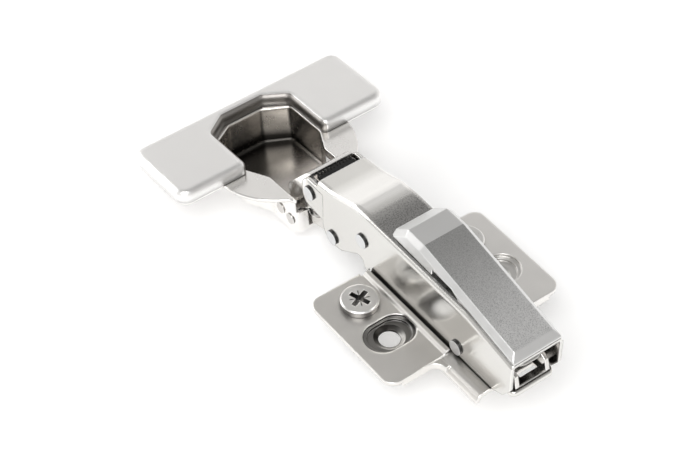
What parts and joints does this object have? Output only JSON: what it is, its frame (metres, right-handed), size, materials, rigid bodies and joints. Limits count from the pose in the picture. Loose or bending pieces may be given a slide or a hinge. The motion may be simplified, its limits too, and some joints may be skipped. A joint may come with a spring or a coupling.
{
  "type": "concealed cup hinge",
  "caption": "Clip-on concealed cup hinge: drawn cup with T-shaped cover, two links, U-section arm with cover cap, and a winged mounting plate; opens about 95 degrees.",
  "frame": {"origin": "on the mounting plate's underside, midway between its two wood-screw holes", "axes": "+Z away from the cabinet side, +X along the arm towards its rear end, +Y across the arm; the hinge is the same on both sides of Y = 0"},
  "size_m": [0.1189, 0.063, 0.0375],
  "materials": {
    "plate_steel": "nickel-plated sheet steel, satin",
    "screw_steel": "nickel-plated steel, satin with a bright rim",
    "arm_steel": "nickel-plated pressed steel, half bright",
    "rivet_steel": "nickel-plated steel rivet, flat head",
    "cup_steel": "nickel-plated drawn steel",
    "cap_steel": "polished nickel-plated sheet",
    "pin_steel": "bright steel",
    "link_steel": "nickel-plated pressed steel",
    "damper_body": "grey moulded plastic",
    "black_plastic": "black moulded plastic",
    "spring_steel": "drawn spring wire",
    "base_steel": "nickel-plated sheet steel, satin",
    "lever_steel": "nickel-plated pressed steel, bright edges",
    "cover_steel": "nickel-plated sheet, fine matt top and bright bevels"
  },
  "bodies": {
    "arm": {"mounting_plate": "plate_steel", "euro_screws": "screw_steel", "hinge_arm": "arm_steel", "arm_pivot_rivet": "rivet_steel", "link_pivot_rivet": "rivet_steel", "spring_rivet": "rivet_steel", "latch_rivet": "rivet_steel", "damper_cylinder": "damper_body", "closing_springs": "spring_steel", "inner_base": "base_steel", "front_hook_bar": "pin_steel", "latch_spring": "spring_steel", "arm_cover_cap": "cover_steel"},
    "outer_link": {"outer_link": "link_steel"},
    "cup": {"hinge_cup": "cup_steel", "cup_cover_cap": "cap_steel", "cup_pin_outer": "pin_steel", "cup_pin_inner": "pin_steel"},
    "inner_link": {"inner_link": "link_steel"},
    "damper": {"damper_rod": "pin_steel", "damper_slider": "black_plastic"},
    "lever": {"latch_lever": "lever_steel"},
    "side_screw": {"side_screw": "screw_steel"},
    "depth_cam": {"depth_cam": "screw_steel"}
  },
  "joints": [
    {"name": "cup_turn", "type": "hinge", "parent": "outer_link", "child": "cup", "pos_m": [-0.05291, 0, -0.00352], "axis": [0, 1, 0], "range_deg": [0, 133]},
    {"name": "link_swing", "type": "hinge", "parent": "arm", "child": "outer_link", "pos_m": [-0.043, 0, 0.0087], "axis": [0, 1, 0], "range_deg": [-38, 0]},
    {"name": "inner_swing", "type": "hinge", "parent": "cup", "child": "inner_link", "pos_m": [-0.04884, 0, -0.00407], "axis": [0, 1, 0], "range_deg": [-129, 0]},
    {"name": "damper_slide", "type": "slide", "parent": "arm", "child": "damper", "axis": [1, 0, 0], "range_m": [0, 0.004]},
    {"name": "lever_lift", "type": "hinge", "parent": "arm", "child": "lever", "pos_m": [0.0143, 0, 0.0051], "axis": [0, 1, 0], "range_deg": [-8, 0], "stiffness_Nm_per_rad": 0.05, "springref_deg": 5.73},
    {"name": "side_screw_turn", "type": "hinge", "parent": "arm", "child": "side_screw", "pos_m": [0.0067, 0, 0.01895], "axis": [0, 0, 1], "range_deg": [-180, 180]},
    {"name": "depth_cam_turn", "type": "hinge", "parent": "arm", "child": "depth_cam", "pos_m": [0.0146, 0, 0.01895], "axis": [0, 0, 1], "range_deg": [-90, 90]}
  ],
  "couplings": [
    {"joint": "link_swing", "follows": "cup_turn", "ratio": -0.28571},
    {"joint": "inner_swing", "follows": "cup_turn", "ratio": -0.96992},
    {"joint": "damper_slide", "follows": "cup_turn", "m_per_rad": 0.0017232}
  ]
}
